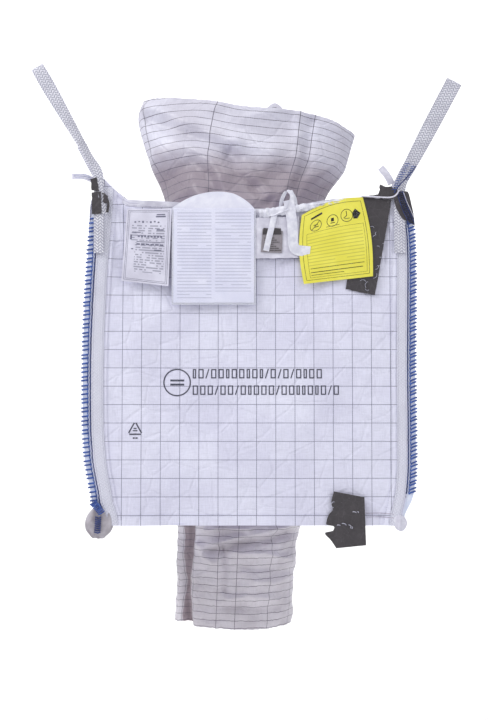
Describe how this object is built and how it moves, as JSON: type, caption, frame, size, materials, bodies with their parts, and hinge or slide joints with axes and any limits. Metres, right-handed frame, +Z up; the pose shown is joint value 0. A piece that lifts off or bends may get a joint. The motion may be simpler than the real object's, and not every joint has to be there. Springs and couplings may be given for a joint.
{
  "type": "bulk bag",
  "caption": "Square woven bulk bag hung by corner webbing loops, with a filling spout above, a discharge spout below, overlocked corner seams, labels and a document pouch.",
  "frame": {"origin": "midway between the tops of the four lifting loops", "axes": "+Z up, front face with the labels towards -Y, +X to the right seen from the front"},
  "size_m": [1.1444, 0.8657, 1.5925],
  "materials": {
    "panel_fabric": "satin",
    "spout_fabric": "satin",
    "discharge_fabric": "satin",
    "trim_fabric": "matte",
    "webbing": "matte",
    "blue_thread": "matte",
    "black_film": "satin",
    "tape_fabric": "matte",
    "grey_card": "matte",
    "white_label": "satin",
    "yellow_label": "satin",
    "pouch_film": "gloss",
    "document_paper": "matte"
  },
  "bodies": {
    "root": {"front_panel": "panel_fabric", "back_panel": "panel_fabric", "left_panel": "panel_fabric", "right_panel": "panel_fabric", "top_panel": "panel_fabric", "filling_spout_seam": "trim_fabric", "rim_binding_front": "trim_fabric", "rim_binding_back": "trim_fabric", "rim_binding_left": "trim_fabric", "rim_binding_right": "trim_fabric", "bottom_hem_front": "trim_fabric", "bottom_hem_back": "trim_fabric", "bottom_hem_left": "trim_fabric", "bottom_hem_right": "trim_fabric", "corner_seam_front_left": "blue_thread", "webbing_band_front_left": "webbing", "loop_leg_face_front_left": "webbing", "loop_leg_side_front_left": "webbing", "corner_seam_back_left": "blue_thread", "webbing_band_back_left": "webbing", "loop_leg_face_back_left": "webbing", "loop_leg_side_back_left": "webbing", "corner_seam_front_right": "blue_thread", "webbing_band_front_right": "webbing", "loop_leg_face_front_right": "webbing", "loop_leg_side_front_right": "webbing", "corner_seam_back_right": "blue_thread", "webbing_band_back_right": "webbing", "loop_leg_face_back_right": "webbing", "loop_leg_side_back_right": "webbing", "black_strip": "black_film", "tag_backing": "tape_fabric", "grey_tag": "grey_card", "rim_film": "black_film", "rim_ribbon": "tape_fabric", "corner_sleeve_left": "black_film", "corner_sleeve_right": "black_film", "black_patch": "black_film", "tie_tape_narrow": "tape_fabric", "tie_tape_wide": "tape_fabric"},
    "bottom": {"bottom_panel": "panel_fabric", "discharge_spout_seam": "trim_fabric"},
    "discharge_spout": {"discharge_spout": "discharge_fabric"},
    "filling_spout": {"filling_spout": "spout_fabric"},
    "loop_front_left": {"lifting_loop_front_left": "webbing"},
    "loop_back_left": {"lifting_loop_back_left": "webbing"},
    "loop_front_right": {"lifting_loop_front_right": "webbing"},
    "loop_back_right": {"lifting_loop_back_right": "webbing"},
    "white_label": {"white_label": "white_label"},
    "yellow_label": {"yellow_label": "yellow_label"},
    "document_pouch": {"document_pouch": "pouch_film"},
    "document_sheet": {"document_sheet": "document_paper"}
  },
  "joints": [
    {"name": "bag_collapse", "type": "slide", "parent": "root", "child": "bottom", "axis": [0, 0, 1], "range_m": [0, 0.594]},
    {"name": "discharge_spout_swing", "type": "hinge", "parent": "bottom", "child": "discharge_spout", "pos_m": [-0.02031, 0, -1.18472], "axis": [1, 0, 0], "range_deg": [-15, 15]},
    {"name": "filling_spout_lean", "type": "hinge", "parent": "root", "child": "filling_spout", "pos_m": [0.00169, 0, -0.34922], "axis": [1, 0, 0], "range_deg": [-15, 15]},
    {"name": "loop_front_left_swing", "type": "hinge", "parent": "root", "child": "loop_front_left", "pos_m": [-0.39631, -0.4113, -0.28122], "axis": [0, -1, 0], "range_deg": [-103, 48]},
    {"name": "loop_back_left_swing", "type": "hinge", "parent": "root", "child": "loop_back_left", "pos_m": [-0.39631, 0.4113, -0.28122], "axis": [0, -1, 0], "range_deg": [-103, 48]},
    {"name": "loop_front_right_swing", "type": "hinge", "parent": "root", "child": "loop_front_right", "pos_m": [0.41369, -0.4113, -0.28122], "axis": [0, 1, 0], "range_deg": [-103, 48]},
    {"name": "loop_back_right_swing", "type": "hinge", "parent": "root", "child": "loop_back_right", "pos_m": [0.41369, 0.4113, -0.28122], "axis": [0, 1, 0], "range_deg": [-103, 48]},
    {"name": "white_label_lift", "type": "hinge", "parent": "root", "child": "white_label", "pos_m": [-0.26432, -0.43205, -0.34122], "axis": [-1, 0, 0], "range_deg": [0, 150]},
    {"name": "yellow_label_lift", "type": "hinge", "parent": "root", "child": "yellow_label", "pos_m": [0.24668, -0.43205, -0.33122], "axis": [-0.9925, 0, -0.1219], "range_deg": [0, 150]},
    {"name": "document_pouch_lift", "type": "hinge", "parent": "root", "child": "document_pouch", "pos_m": [-0.08482, -0.4328, -0.31122], "axis": [-1, 0, 0], "range_deg": [0, 150]},
    {"name": "document_sheet_slide", "type": "slide", "parent": "document_pouch", "child": "document_sheet", "axis": [0, 0, -1], "range_m": [-0.28, 0]}
  ]
}
